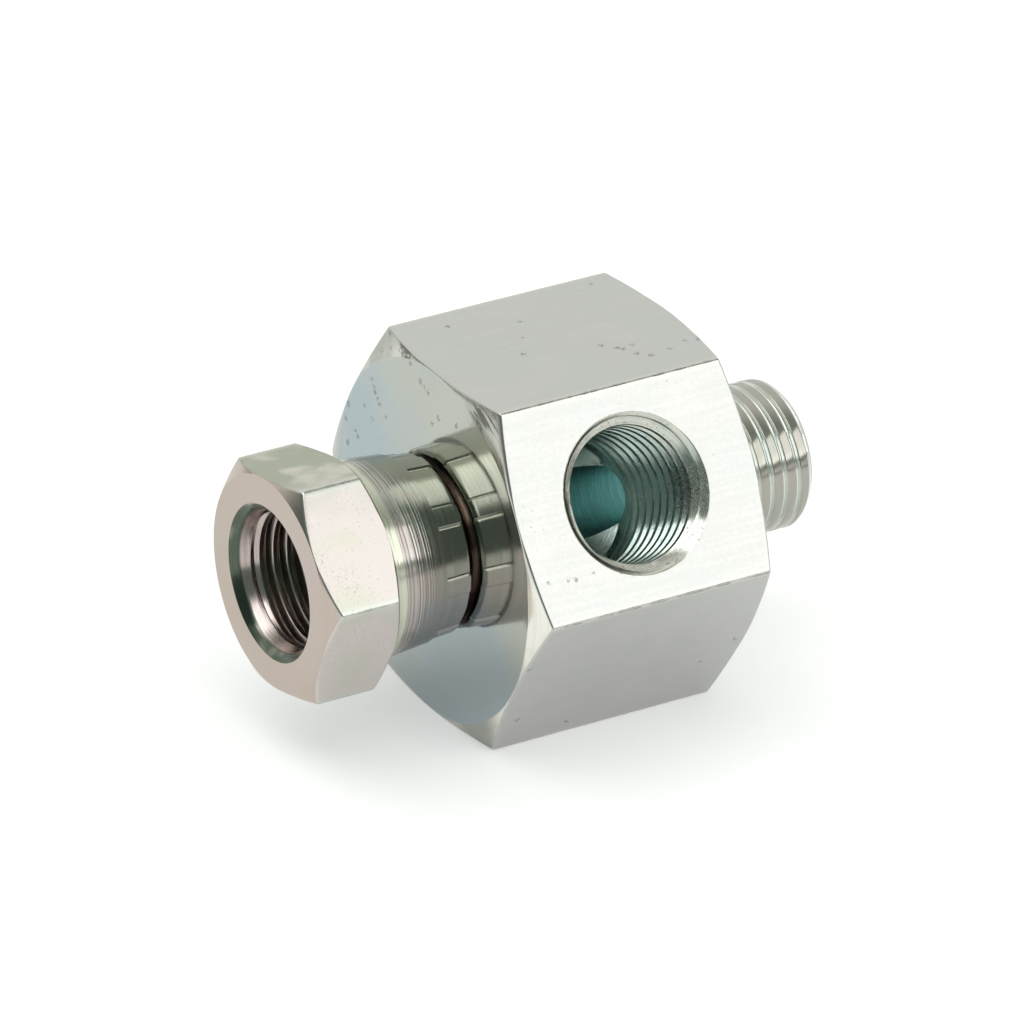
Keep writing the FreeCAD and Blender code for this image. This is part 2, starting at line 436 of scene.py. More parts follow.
# %% Port's flat: from the mouth to the flat's outline
def on_port_flat(x, column):
    """Places on the port's flat of points in a column: x along it, and how far up it."""
    up = -body_rim[column] * np.sin(body_angle[column] - PORT_ANGLE)
    return np.stack(np.broadcast_arrays(x, up), axis=-1)


span = slice(first, last + 1)
ends = [on_port_flat(x[span], span) for x in (right_x, left_x)]
sides = [on_port_flat(flat_x[1:-1, column], column) for column in (first, last)]
outline = np.concatenate(ends + sides)
turn = np.arctan2(outline[:, 1], outline[:, 0])
turn = np.where(turn > math.pi - 1e-6, turn - FULL_TURN, turn)
outline, turn = outline[np.argsort(turn)], np.sort(turn)
outline = np.concatenate([outline, outline[:1]])
turn = np.concatenate([turn, turn[:1] + FULL_TURN])
circle = BRIM_RADIUS * np.stack([np.cos(psi), np.sin(psi)], axis=-1)
places = np.concatenate([circle, outline])
flat_points = in_port(np.hypot(*places.T), np.arctan2(places[:, 1], places[:, 0]), BODY_APOTHEM)
inner, outer = flat_points[: len(circle)], flat_points[len(circle) :]
body_skin.zip(inner, psi, outer, turn, places, FLAT)

# %% [markdown]
# ## Body: flow bore, stem and stud
# The flow bore runs through the body. Round the hole that the port's drill leaves in its wall, the
# wall is a sheet between the hole's edge and a rectangle on the unrolled wall. The stem waits
# inside the nut, with its cone nose, its flange and its neck. The stud has a relief at its root, a
# thread, a chamfer and a cone seat.

# %% Flow bore
HOLE_REACH = 6.3
JOIN_REACH = 6.8
hole_x = meeting_radius * np.cos(psi)
hole_turn = -np.arctan2(meeting_radius * np.sin(psi), meeting)
reach = np.maximum(np.abs(np.cos(psi)), np.abs(np.sin(psi)))
frame_x = np.cos(psi) / reach * HOLE_REACH
frame_turn = -np.sin(psi) / reach * math.pi
share = np.linspace(0, 1, 15)[:, None]
wall_x = hole_x * (1 - share) + frame_x * share
wall_angle = hole_turn * (1 - share) + frame_turn * share + PORT_ANGLE
wall_map = np.stack([wall_angle / FULL_TURN, wall_x], axis=-1)
body_skin.sheet(around(wall_x, BORE_RADIUS, wall_angle), wall_map, FLOW_BORE)
for side in (1, -1):
    edge = np.abs(frame_x - side * HOLE_REACH) < 1e-9
    edge_turn = np.sort(frame_turn[edge]) + PORT_ANGLE
    ring = around(side * HOLE_REACH, BORE_RADIUS, edge_turn)
    far = around(side * JOIN_REACH, BORE_RADIUS, body_angle)
    both = np.concatenate([edge_turn, body_angle]) / FULL_TURN
    join_x = np.repeat([side * HOLE_REACH, side * JOIN_REACH], [len(edge_turn), len(body_angle)])
    join_map = np.stack([both, join_x], axis=-1)
    body_skin.zip(ring, edge_turn, far, body_angle, join_map, FLOW_BORE)

# %% Stem under the nut
SOFT_EDGE = 0.06
NECK_RADIUS = 5.9
FLANGE_RADIUS = 6.85
FLANGE_BACK = -14.95
NOSE_BASE = 5.2
NOSE_TIP = 3.9
NOSE_TIP_X = -19.3
BORE_MOUTH = 0.3
ROOT_CIRCLE = 7.5
FACE_ROWS = (BODY_FACE_RADIUS, 15.7, 13.0, 10.0, ROOT_CIRCLE)
nose_base_x = NOSE_TIP_X + (NOSE_BASE - NOSE_TIP) / math.tan(TWELFTH)
neck = [(-BODY_END, ROOT_CIRCLE), (-BODY_END, NECK_RADIUS)]
flange = [(FLANGE_BACK + FLANGE_RADIUS - NECK_RADIUS, NECK_RADIUS), (FLANGE_BACK, FLANGE_RADIUS)]
nose = [(nose_base_x, FLANGE_RADIUS), (nose_base_x, NOSE_BASE), (NOSE_TIP_X, NOSE_TIP)]
bore = [(NOSE_TIP_X, BORE_RADIUS + BORE_MOUTH), (NOSE_TIP_X + BORE_MOUTH, BORE_RADIUS)]
bore.append((-JOIN_REACH, BORE_RADIUS))
revolved(body_skin, [(-BODY_END, r) for r in FACE_ROWS], TURNED)
stem = softened(neck + flange + nose + bore, SOFT_EDGE)
BORE_ROWS = 2
revolved(body_skin, stem[:-BORE_ROWS], STEM)
revolved(body_skin, stem[-BORE_ROWS - 1 :], FLOW_BORE)

# %% Stud
STUD_END = 22.75
STUD_CHAMFER = 0.8
RELIEF_RADIUS = ROOT_RADIUS - 0.12
RELIEF_END = BODY_END + 1.5 * PITCH
RELIEF_ROUND = 0.25
SEAT_RADIUS = CREST_RADIUS - STUD_CHAMFER - 0.78
END_RING = SEAT_RADIUS + 0.35
SEAT_DEPTH = (SEAT_RADIUS - BORE_RADIUS) / math.tan(TWELFTH)
STUD_START = -0.07
revolved(body_skin, [(BODY_END, r) for r in FACE_ROWS], CLEAN_FACE)
relief = [(BODY_END, ROOT_CIRCLE), (BODY_END, RELIEF_RADIUS), (RELIEF_END, RELIEF_RADIUS)]
relief = softened(relief, RELIEF_ROUND)
revolved(body_skin, relief[:2], CLEAN_FACE)
revolved(body_skin, relief[1:], STUD_THREAD)

rolled = thread_form(0.62, 0.12, 0.08)
x = thread_lengths(RELIEF_END, STUD_END, body_angle, STUD_START, rolled)
blank = np.minimum(RELIEF_RADIUS + (x - RELIEF_END), CREST_RADIUS)
blank = np.minimum(blank, CREST_RADIUS - STUD_CHAMFER + (STUD_END - x))
level = thread_level(x, body_angle, STUD_START, rolled)
depth = rolled[:, 1].max()
radius = np.minimum(blank, CREST_RADIUS - depth + level)
# Faces low in the grooves take a lighter finish than the crests: a painted highlight standing in for the
# bright lines that the grooves reflect.
GROOVE_LIMIT = 1.85
in_groove = level[:-1, :-1] + level[1:, 1:] < GROOVE_LIMIT * depth
turned(body_skin, x, radius, np.where(in_groove, STUD_GROOVE_PAINTED_LIGHT, STUD_THREAD).ravel())

lip = radius[-1]
inside = [(STUD_END, END_RING), (STUD_END, SEAT_RADIUS)]
inside += [(STUD_END - SEAT_DEPTH, BORE_RADIUS), (JOIN_REACH, BORE_RADIUS)]
inside = softened(inside, SOFT_EDGE)
end_ring = np.stack([lip, np.full_like(lip, END_RING)])
turned(body_skin, STUD_END, end_ring, TURNED)
revolved(body_skin, inside[:-BORE_ROWS], TURNED)
revolved(body_skin, inside[-BORE_ROWS - 1 :], FLOW_BORE)

# %% [markdown]
# ## Swivel nut
# The nut is turned from smaller hexagon bar. Its mouth is a short cone and a longer taper, down to
# the thread. Behind the hexagon its collar tapers, with the rings that the turning tool left, and
# its rear band is pressed in behind the stem's flange by eight jaws. Each jaw leaves a shallow
# flat-bottomed press with a crease at either side, and ridges stay between them. The presses are a
# step in the radius over the angle, so the same sheet carries taper, rings and presses.

# %% Columns and hexagon of the nut
NUT_FLAT, NUT_TURNED, NUT_COLLAR, NUT_ROOT, NUT_THREAD = range(5)
JAWS = 8
JAW_RIDGE = math.radians(12)
JAW_PHASE = math.radians(1)
JAW_DEPTH = 0.16
JAW_EDGE = math.radians(0.5)
JAW_CREASE = 0.3

plain = hexagon_columns(NUT_APOTHEM, NUT_EDGE_ROUND, NUT_TURN)
from_ridge = JAW_RIDGE / 2 + JAW_EDGE * np.arange(-1, 5)
from_ridge = np.concatenate([-from_ridge, from_ridge])
jaw_edges = (JAW_PHASE + FULL_TURN / JAWS * np.arange(-3, 6)[:, None] + from_ridge).ravel()
inside_range = (jaw_edges > plain[0] + 0.01) & (jaw_edges < plain[-1] - 0.01)
extra = jaw_edges[inside_range]
clear = np.min(np.abs(extra[:, None] - plain), axis=1) > math.radians(0.08)
nut_angle = np.sort(np.concatenate([plain, extra[clear]]))
nut_skin = Skin(nut_angle)
nut_rim = hexagon_radius(nut_angle, NUT_APOTHEM, NUT_EDGE_ROUND, NUT_TURN)

nut_hexagon = (NUT_FACE_RADIUS, NUT_CHAMFER, nut_rim, NUT_TURN, NUT_TURNED, NUT_FLAT)
right_x, left_x = both_ends(nut_skin, (NUT_HEX_REAR, NUT_FRONT), *nut_hexagon)
share = np.linspace(1, 0, 9)[:, None]
nut_flat_x = share * right_x + (1 - share) * left_x
flats(nut_skin, nut_flat_x, nut_rim, nut_angle, NUT_TURN, NUT_FLAT)

# %% Mouth and thread of the nut
NUT_THREAD_END = NUT_FRONT + 7.75
NUT_START = 0.35
NUT_LAND = 1.5
NUT_FADE = 1.1
NUT_SINK = 0.62
NUT_TAPER = 1.34
front = [(NUT_FRONT, NUT_FACE_RADIUS), (NUT_FRONT, MOUTH_RADIUS)]
front.append((NUT_FRONT + MOUTH_BEVEL, MOUTH_RADIUS - MOUTH_BEVEL))
front = softened(front, MOUTH_EDGE)
on_face = np.arange(len(front) - 1)[:, None] < 2
front_finish = np.where(on_face, NUT_TURNED, NUT_THREAD).repeat(len(nut_angle) - 1, axis=1)
revolved(nut_skin, front, front_finish.ravel())
x = thread_lengths(NUT_FRONT + MOUTH_BEVEL, NUT_THREAD_END, nut_angle, NUT_START, tapped)
deep = x - NUT_FRONT
fade = (deep - NUT_LAND) / NUT_FADE
radius = tapped_radius(x, nut_angle, NUT_START, deep, NUT_SINK, NUT_TAPER, fade)
turned(nut_skin, x, radius, NUT_THREAD)

# %% Chamber and rear lip of the nut
CHAMBER_RADIUS = 7.0
LIP_RADIUS = 6.2
BAND_FRONT = NUT_REAR - 2.7
BAND_RADIUS = 8.1
REAR_RADIUS = 7.95
REAR_BEVEL = 0.3
TAIL_RADIUS = REAR_RADIUS - REAR_BEVEL - 0.3
WALL_RADIUS = CHAMBER_RADIUS - 0.1
wall = np.stack([radius[-1], np.full_like(radius[-1], WALL_RADIUS)])
turned(nut_skin, NUT_THREAD_END, wall, NUT_THREAD)
chamber = [(NUT_THREAD_END, WALL_RADIUS), (NUT_THREAD_END, CHAMBER_RADIUS)]
chamber.append((BAND_FRONT, CHAMBER_RADIUS))
lip = [(BAND_FRONT + CHAMBER_RADIUS - LIP_RADIUS, LIP_RADIUS), (NUT_REAR, LIP_RADIUS)]
lip.append((NUT_REAR, TAIL_RADIUS))
revolved(nut_skin, softened(chamber + lip, SOFT_EDGE), NUT_THREAD)

# %% Collar with its turned rings, and the crimped band
COLLAR_ROOT = 8.75
COLLAR_WAIST = 8.25
RING_PLACES = np.array([0.72, 1.3, 1.62, 1.98, 2.1, 2.6, 2.86, 3.2, 3.38, 3.7, 3.9, 4.26])
RING_DEPTHS = np.array([7, 4, 9, 7, 3, 8, 3, 4, 7, 9, 6, 3]) * 0.001
RING_WIDTH = 0.07
ROOT_BAND = 1.25


def ring_depth(x):
    """Depth of the turned rings: a sum of bells, depth * exp(-(distance / width)^2), one a ring."""
    away = (x[..., None] - NUT_HEX_REAR - RING_PLACES) / RING_WIDTH
    return np.sum(RING_DEPTHS * np.exp(-(away**2)), axis=-1)


def press_share(angle):
    """How far the jaws pressed: 0 on a ridge and 1 in a press, with a short slope between them and a
    crease, exp(-(distance / edge)^2), at the slope's foot."""
    period = FULL_TURN / JAWS
    from_ridge = np.abs((angle - JAW_PHASE + period / 2) % period - period / 2)
    steps = (from_ridge - JAW_RIDGE / 2) / JAW_EDGE
    return np.clip(steps / 2 + 0.5, 0, 1) + JAW_CREASE * np.exp(-((steps - 2) ** 2))


x = np.linspace(NUT_HEX_REAR + 0.12, BAND_FRONT - 0.04, 118)
collar = np.interp(x, [NUT_HEX_REAR, BAND_FRONT], [COLLAR_ROOT, COLLAR_WAIST]) - ring_depth(x)
ROOT_ROUND = 0.1
root = [(NUT_HEX_REAR, NUT_FACE_RADIUS), (NUT_HEX_REAR, collar[0] + ROOT_ROUND), (x[0], collar[0])]
revolved(nut_skin, softened(root, ROOT_ROUND), NUT_ROOT)
in_root = x[1:, None] < NUT_HEX_REAR + ROOT_BAND
collar_finish = np.where(in_root, NUT_ROOT, NUT_COLLAR).repeat(len(nut_angle) - 1, axis=1)
revolved(nut_skin, np.stack([x, collar], axis=-1), collar_finish.ravel())

press = press_share(nut_angle) * JAW_DEPTH
band_x = np.linspace(BAND_FRONT + 0.04, NUT_REAR - REAR_BEVEL - 0.05, 12)[:, None]
band = np.interp(band_x, [BAND_FRONT, NUT_REAR - REAR_BEVEL], [BAND_RADIUS, REAR_RADIUS])
band = band - press
tail_x = np.array([[NUT_REAR - REAR_BEVEL + 0.05], [NUT_REAR - 0.05], [NUT_REAR], [NUT_REAR]])
tail_r = REAR_RADIUS - np.array([[0.05], [REAR_BEVEL - 0.05], [REAR_BEVEL + 0.05], [REAR_BEVEL + 0.3]])
tail = tail_r - press * np.array([[1], [1], [1], [0]])
waist = np.full((1, len(nut_angle)), collar[-1])
band_x = np.concatenate([[[x[-1]]], band_x, tail_x])
turned(nut_skin, band_x, np.concatenate([waist, band, tail]), NUT_COLLAR)

# %% [markdown]
# ## Node helpers
# Every finish is procedural. A small helper keeps the node code readable: it adds a node, wires
# what it is given and hands back the output. Effects that several finishes share are node groups
# with named sockets.

# %% Wiring nodes


class Board:
    """A node tree and short calls that add a node each and return its output socket. A kind is the
    type of a shader node without its first word. A group takes its values in the order of its inputs."""

    def __init__(self, tree):
        self.tree = tree

    def node(self, kind, inputs=None, output=0, **settings):
        made = self.tree.nodes.new("ShaderNode" + kind)
        for key, value in settings.items():
            setattr(made, key, value)
        for key, value in (inputs or {}).items():
            self.plug(made.inputs[key], value)
        return made if output is None else made.outputs[output]

    def plug(self, socket, value):
        if isinstance(value, bpy.types.NodeSocket):
            self.tree.links.new(value, socket)
        else:
            socket.default_value = value

    def math(self, operation, first, second=0.5, third=0.5):
        return self.node("Math", {0: first, 1: second, 2: third}, operation=operation)

    def times(self, first, second):
        return self.math("MULTIPLY", first, second)

    def spread(self, value, low, high, new_low=0.0, new_high=1.0):
        inputs = {0: value, 1: low, 2: high, 3: new_low, 4: new_high}
        return self.node("MapRange", inputs, interpolation_type="SMOOTHSTEP")

    def noise(self, vector, scale, detail=2.0, rough=0.5):
        inputs = {"Vector": vector, "Scale": scale, "Detail": detail, "Roughness": rough}
        return self.node("TexNoise", inputs)

    def stretched(self, vector, scale, move=(0, 0, 0)):
        inputs = {"Vector": vector, "Scale": scale, "Location": move}
        return self.node("Mapping", inputs)

    def blend(self, share, first, second, kind="MIX"):
        mixer = self.node("Mix", output=None, data_type="RGBA", blend_type=kind)
        self.plug(mixer.inputs[0], share)
        self.plug(mixer.inputs[6], first)
        self.plug(mixer.inputs[7], second)
        return mixer.outputs[2]

    def vector(self, operation, first, second=None):
        inputs = {0: first} if second is None else {0: first, 1: second}
        output = "Value" if operation in ("LENGTH", "DISTANCE", "DOT_PRODUCT") else 0
        return self.node("VectorMath", inputs, output, operation=operation)

    def group(self, tree, values, output=0):
        return self.node("Group", dict(enumerate(values)), output=output, node_tree=tree)

    def place(self):
        return self.node("TexCoord", output="Object")

    def millimetres(self):
        return self.stretched(self.place(), (1000.0, 1000.0, 1000.0))


def empty_board(owner):
    """The emptied node tree of a material or a world."""
    owner.use_nodes = True
    owner.node_tree.nodes.clear()
    return Board(owner.node_tree)


def node_group(name, inputs, outputs, fill):
    """A shader node group of input sockets with defaults, output sockets and the nodes that fill adds
    between them. Three numbers make a vector and four a colour; an output called Colour is one too."""
    group = bpy.data.node_groups.new(name, "ShaderNodeTree")
    for label, default in inputs.items():
        kind = {1: "Float", 3: "Vector", 4: "Color"}[np.size(default)]
        socket = group.interface.new_socket(label, in_out="INPUT", socket_type="NodeSocket" + kind)
        socket.default_value = default
    for label in outputs:
        kind = "Color" if label == "Colour" else "Float"
        group.interface.new_socket(label, in_out="OUTPUT", socket_type="NodeSocket" + kind)
    board = Board(group)
    given = group.nodes.new("NodeGroupInput").outputs
    made = fill(board, *given[: len(inputs)])
    end = group.nodes.new("NodeGroupOutput")
    for label, value in made.items():
        board.plug(end.inputs[label], value)
    return group


# %% [markdown]
# ## Shared effects
# Zinc plated steel shows the steel under it. The effects that several finishes share are node
# groups: arcs that the turning tool left round an axis, faint lines along the drawn bar, small
# pits, nicks where the part was knocked, single spots at known places, a passivation film whose
# colour leans from one side to another and clouds over, and a thin line of painted shade that comes
# and goes along each long edge of a hexagon, with an even band of another colour beside it.

# %% Effects as node groups


def fill_turning_marks(board, lines_per_mm, arc_share, axis, centre):
    """Noise over the distance from an axis and the length along it. It changes slowly with the place,
    so each mark is a long arc that fades out."""
    away = board.vector("SUBTRACT", board.millimetres(), centre)
    along = board.vector("DOT_PRODUCT", away, axis)
    inputs = {"Vector": axis, "Scale": along}
    on_axis = board.node("VectorMath", inputs, operation="SCALE")
    radius = board.vector("LENGTH", board.vector("SUBTRACT", away, on_axis))
    slow = board.vector("DOT_PRODUCT", away, (0.55, 0.62, 0.56))
    arc = board.times(slow, arc_share)
    where = board.node("CombineXYZ", {0: along, 1: radius, 2: arc})
    wide = board.noise(where, lines_per_mm, 2.0, 0.6)
    shifted = board.stretched(where, (3.1, 3.1, 2.3), (3.7, 1.9, 5.3))
    fine = board.noise(shifted, lines_per_mm, 2.0)
    both = board.math("MULTIPLY_ADD", fine, 0.45, board.times(wide, 0.55))
    return {"Lines": board.spread(both, 0.36, 0.64)}


def fill_drawn_lines(board, line_share):
    """Noise drawn out along the bar, and an even grain."""
    where = board.millimetres()
    lines = board.noise(board.stretched(where, (0.12, 2.4, 2.4)), 1.0, 3.0, 0.55)
    grain = board.noise(board.stretched(where, (3.3, 4.1, 4.1)), 1.0, 3.0, 0.65)
    mixed = board.math("MULTIPLY_ADD", lines, line_share, board.times(grain, 0.5))
    return {"Lines": board.spread(mixed, 0.3, 0.7)}


def fill_pits(board, pits_per_mm, patches_per_mm, limit):
    """Where a fine noise rises over a limit, and only where a coarse noise allows it."""
    where = board.millimetres()
    fine = board.noise(where, pits_per_mm, 2.0, 0.65)
    coarse = board.noise(where, patches_per_mm, 1.0, 0.5)
    limit = board.math("SUBTRACT", limit, board.spread(coarse, 0.35, 0.75, 0.0, 0.08))
    return {"Mask": board.spread(fine, limit, board.math("ADD", limit, 0.05))}


def fill_nicks(board, centre, reach, stretch, limit):
    """Dark marks in a soft ball: a drawn-out noise over a limit that rises towards the ball's skin."""
    where = board.millimetres()
    away = board.vector("DISTANCE", where, centre)
    inside = board.spread(away, 0.0, reach, 0.0, -0.5)
    drawn = board.vector("MULTIPLY", where, stretch)
    marks = board.math("ADD", board.noise(drawn, 1.0, 4.0, 0.7), inside)
    return {"Mask": board.spread(marks, limit, board.math("ADD", limit, 0.06))}


def fill_spot(board, nearest, centre, size):
    """The lesser of two distances: the one so far, and the one from a spot's skin."""
    away = board.vector("DISTANCE", board.millimetres(), centre)
    from_skin = board.math("SUBTRACT", away, size)
    return {"Nearest": board.math("MINIMUM", nearest, from_skin)}


def fill_film(board, clouds_per_mm, lean, middle, ragged, first, second, third):
    """First colour turns to second along the lean, with a ragged front; third lies over in clouds."""
    where = board.millimetres()
    soft = board.noise(where, clouds_per_mm, 2.0, 0.5)
    lean = board.vector("DOT_PRODUCT", where, lean)
    lean = board.math("ADD", lean, middle)
    front = board.math("MULTIPLY_ADD", board.math("SUBTRACT", soft, 0.5), ragged, lean)
    mixed = board.blend(board.spread(front, 0.0, 1.0), first, second)
    moved = board.stretched(where, (1.0, 1.0, 1.0), (31.0, 17.0, 5.0))
    cloud = board.spread(board.noise(moved, clouds_per_mm, 2.0, 0.5), 0.48, 0.72)
    return {"Colour": board.blend(cloud, mixed, third)}


def fill_edge_shade_and_band(board, half_width, line_width, band_width):
    """Millimetres to the nearest long edge: half a flat's width less the place across it, the second
    value of the map. The line is painted shade; it comes and goes with a noise, and the band
    beside it is even."""
    surface = board.node("UVMap", uv_map="surface")
    across = board.node("SeparateXYZ", {0: surface}, 1)
    away = board.math("SUBTRACT", half_width, board.math("ABSOLUTE", across))
    ragged = board.noise(board.millimetres(), 1.1, 4.0, 0.7)
    width = board.times(board.spread(ragged, 0.4, 0.6, 0.15, 1.0), line_width)
    line = board.math("SUBTRACT", 1.0, board.spread(away, board.times(width, 0.5), width))
    band = board.spread(away, 0.0, band_width, 1.0, 0.0)
    return {"Line": line, "Band": band}


GREY = (0.6, 0.6, 0.6, 1.0)
HERE = (0.0, 0.0, 0.0)
turning_inputs = {"Lines per mm": 6.0, "Arc share": 0.03}
turning_inputs.update({"Axis": (1.0, 0.0, 0.0), "Centre": (0.0, 0.0, FLOW_HEIGHT)})
turning_marks = node_group("turning marks", turning_inputs, ["Lines"], fill_turning_marks)
drawn_lines = node_group("drawn lines", {"Line share": 0.5}, ["Lines"], fill_drawn_lines)
pit_inputs = {"Pits per mm": 2.5, "Patches per mm": 0.12, "Limit": 0.72}
pits = node_group("pits", pit_inputs, ["Mask"], fill_pits)
nick_inputs = {"Centre": HERE, "Reach": 3.0, "Stretch": (1.0, 1.0, 1.0), "Limit": 0.6}
nick_marks = node_group("nicks", nick_inputs, ["Mask"], fill_nicks)
spot = node_group("spot", {"Nearest": 9.0, "Centre": HERE, "Size": 0.2}, ["Nearest"], fill_spot)
film_inputs = {"Clouds per mm": 0.15, "Lean": HERE, "Middle": 0.5, "Ragged": 1.5}
film_inputs.update({"First": GREY, "Second": GREY, "Third": GREY})
film = node_group("passivation film", film_inputs, ["Colour"], fill_film)
edge_inputs = {"Half width": 9.2, "Line width": 0.15, "Band width": 0.8}
edge_shade_and_band = node_group("hexagon edge shade and band", edge_inputs, ["Line", "Band"], fill_edge_shade_and_band)

# %% [markdown]
# ## Finishes
# All of them are one metal, so they share a recipe: a film colour, darkened in pits, nicks and the
# valleys of the tool's marks, a roughness that follows the same marks, and a bump of a few
# micrometres, with the pits a little deeper. Along the long edges of a hexagon the colour also
# holds a thin line of painted shade. The body's plating is clear, a little blue on its left face
# and warmer towards the port; that face is darker low down, which is painted shade for the
# shadowed floor that it mirrors there. The body's end cones are painted nearly white towards -Y,
# and the stud's grooves lighter than its crests: both are painted highlights. The nut's shows
# straw, pink and green, as an older yellow passivation does; beyond that tint, its flats facing -Y
# are lighter and the others darker, as painted light and painted shade, and the cone of its mouth
# is painted near black, as painted shade.

# %% The recipe of a plated surface
NICK_DARKENING = 0.6
SPOT_DARKENING = 0.45
PIT_ROUGHNESS = 0.3
PIT_DEPTH = 0.02
EVEN = (HERE, 0.5, 2.0)


def plated(name, colours, roughness, marks, pitting, lean=EVEN, nicks=(), edge=None, spots=()):
    """A plated steel finish. colours are three film colours and clouds per mm. marks are (group,
    values, darkening, bump in mm). pitting is (pits per mm, patches per mm, limit, darkening). lean is
    (direction per mm, middle, ragged). nicks are (centre, reach, stretch, limit). edge is (half a
    flat's width, width of the painted shade line, its darkening, width of the band, its colour). spots
    are (x, y, z, radius) of single marks."""
    material = bpy.data.materials.new(name)
    board = empty_board(material)
    film_colours = [(*shade, 1.0) for shade in colours[:3]]
    colour = board.group(film, (colours[3], *lean, *film_colours))

    group, values, darkening, bump_mm = marks
    lines = board.group(group, values)
    shade = board.spread(lines, 0.0, 1.0, 1.0 - darkening, 1.0)
    colour = board.blend(1.0, colour, shade, "MULTIPLY")

    mask = board.times(board.group(pits, pitting[:3]), pitting[3])
    for nick in nicks:
        marked = board.times(board.group(nick_marks, nick), NICK_DARKENING)
        mask = board.math("MAXIMUM", mask, marked)
    if spots:
        nearest = 9.0
        for x, y, z, size in spots:
            nearest = board.group(spot, (nearest, (x, y, z), size))
        crumble = board.spread(board.noise(board.millimetres(), 6.0, 3.0, 0.7), 0.25, 0.75, -0.28, 0.28)
        single = board.spread(board.math("ADD", nearest, crumble), -0.16, 0.08, SPOT_DARKENING, 0.0)
        mask = board.math("MAXIMUM", mask, single)
    colour = board.blend(1.0, colour, board.math("SUBTRACT", 1.0, mask), "MULTIPLY")

    # A thin line of painted shade along each long edge of a hexagon, and an even band beside it.
    if edge is not None:
        half_width, line_width, shade_line_dark, band_width, band_colour = edge
        near = board.group(edge_shade_and_band, (half_width, line_width, band_width), None).outputs
        colour = board.blend(near["Band"], colour, (*band_colour, 1.0))
        painted_edge_shade = board.spread(near["Line"], 0.0, 1.0, 1.0, 1.0 - shade_line_dark)
        colour = board.blend(1.0, colour, painted_edge_shade, "MULTIPLY")

    rough = board.spread(lines, 0.0, 1.0, roughness[1], roughness[0])
    rough = board.math("ADD", rough, board.times(mask, PIT_ROUGHNESS))
    height = board.times(lines, bump_mm)
    height = board.math("SUBTRACT", height, board.times(mask, PIT_DEPTH))
    bump = board.node("Bump", {"Strength": 1.0, "Distance": METRES, "Height": height})
    inputs = {"Base Color": colour, "Roughness": rough, "Metallic": 1.0, "Normal": bump}
    shader = board.node("BsdfPrincipled", inputs)
    board.node("OutputMaterial", {"Surface": shader}, output=None)
    return material


# %% Finishes of the body
BODY_HALF_FLAT = BODY_APOTHEM * math.tan(TWELFTH)
NUT_HALF_FLAT = NUT_APOTHEM * math.tan(TWELFTH)
FACE_PITS = (2.6, 0.12, 0.80, 0.35)
STUD_PITS = (3.0, 0.3, 0.80, 0.35)
NUT_PITS = (3.0, 0.2, 0.80, 0.3)
LEFT_FACE = -BODY_END
TOP_FLAT = 2 * BODY_APOTHEM


def tool_marks(lines_per_mm, arc_share, darkening, bump_mm, *axis):
    """What plated() needs for the arcs that a turning tool leaves."""
    return turning_marks, (lines_per_mm, arc_share, *axis), darkening, bump_mm


TOP_SPOTS = [
    (-6.3, 6.7, 0.20), (-0.5, 4.6, 0.12), (-3.4, -0.7, 0.20), (-1.8, 1.9, 0.12), (8.4, 7.8, 0.15),
    (3.2, -2.5, 0.20), (4.2, -3.5, 0.22), (4.5, -3.9, 0.20), (5.1, -5.2, 0.20), (6.0, -6.0, 0.22),
    (8.0, -5.7, 0.16), (5.6, -3.6, 0.15), (9.9, -5.0, 0.15), (11.0, -5.4, 0.20), (11.3, -5.1, 0.20),
]
FLAT_SPOTS = [
    (-10.1, -16.5, 19.4, 0.03), (-8.2, -16.6, 19.2, 0.05), (-7.5, -16.7, 19.1, 0.05),
    (-5.8, -16.6, 19.2, 0.04), (-11.1, -15.5, 10.9, 0.14), (-9.6, -11.4, 3.75, 0.17),
    (10.5, -13.4, 7.2, 0.15), (7.9, -12.2, 5.1, 0.12), (-4.0, -10.1, 1.4, 0.17),
]
FACE_SPOTS = [
    (4.0, 31.0, 0.20), (2.3, 30.1, 0.22), (1.6, 29.9, 0.14), (1.0, 29.6, 0.20), (-0.8, 28.0, 0.17),
    (0.2, 27.0, 0.15), (-3.8, 28.7, 0.17), (10.3, 26.7, 0.15), (9.9, 26.1, 0.14), (9.7, 25.7, 0.20),
    (9.3, 25.3, 0.15), (9.0, 24.9, 0.20), (7.8, 24.2, 0.15), (11.4, 23.7, 0.17), (10.1, 23.0, 0.17),
    (14.2, 22.6, 0.25), (14.5, 21.1, 0.17), (12.9, 20.6, 0.15), (12.5, 20.2, 0.20),
    (14.2, 18.9, 0.25),
]
body_flat = plated(
    "drawn flat",
    ((0.595, 0.588, 0.572), (0.585, 0.587, 0.575), (0.61, 0.60, 0.585), 0.2),
    (0.20, 0.27),
    (drawn_lines, (0.4,), 0.025, 0.0006),
    (4.0, 0.16, 0.76, 0.3),
    nicks=[((5.4, -4.6, TOP_FLAT), 4.2, (1.0, 2.6, 2.6), 0.61)],
    # edge: a painted shade line along the long edges, and an even band beside it
    edge=(BODY_HALF_FLAT, 0.2, 0.5, 0.6, (0.66, 0.655, 0.61)),
    spots=[(x, y, TOP_FLAT, size) for x, y, size in TOP_SPOTS] + FLAT_SPOTS,
)
body_turned = plated(
    "faced end",
    ((0.44, 0.51, 0.535), (0.53, 0.545, 0.49), (0.50, 0.53, 0.50), 0.12),
    (0.06, 0.11),
    tool_marks(3.0, 0.05, 0.02, 0.0002),
    FACE_PITS,
    # lean: darker and bluer low down and towards +Y; the darkening is painted shade for the shadowed
    # floor that the face mirrors
    lean=((0.0, -0.09, 0.12), -2.12, 0.8),
    nicks=[((-11.3, 4.9, 31.4), 2.0, (2.5, 1.6, 2.5), 0.50)],
    spots=[(LEFT_FACE, y, z, size) for y, z, size in FACE_SPOTS],
)
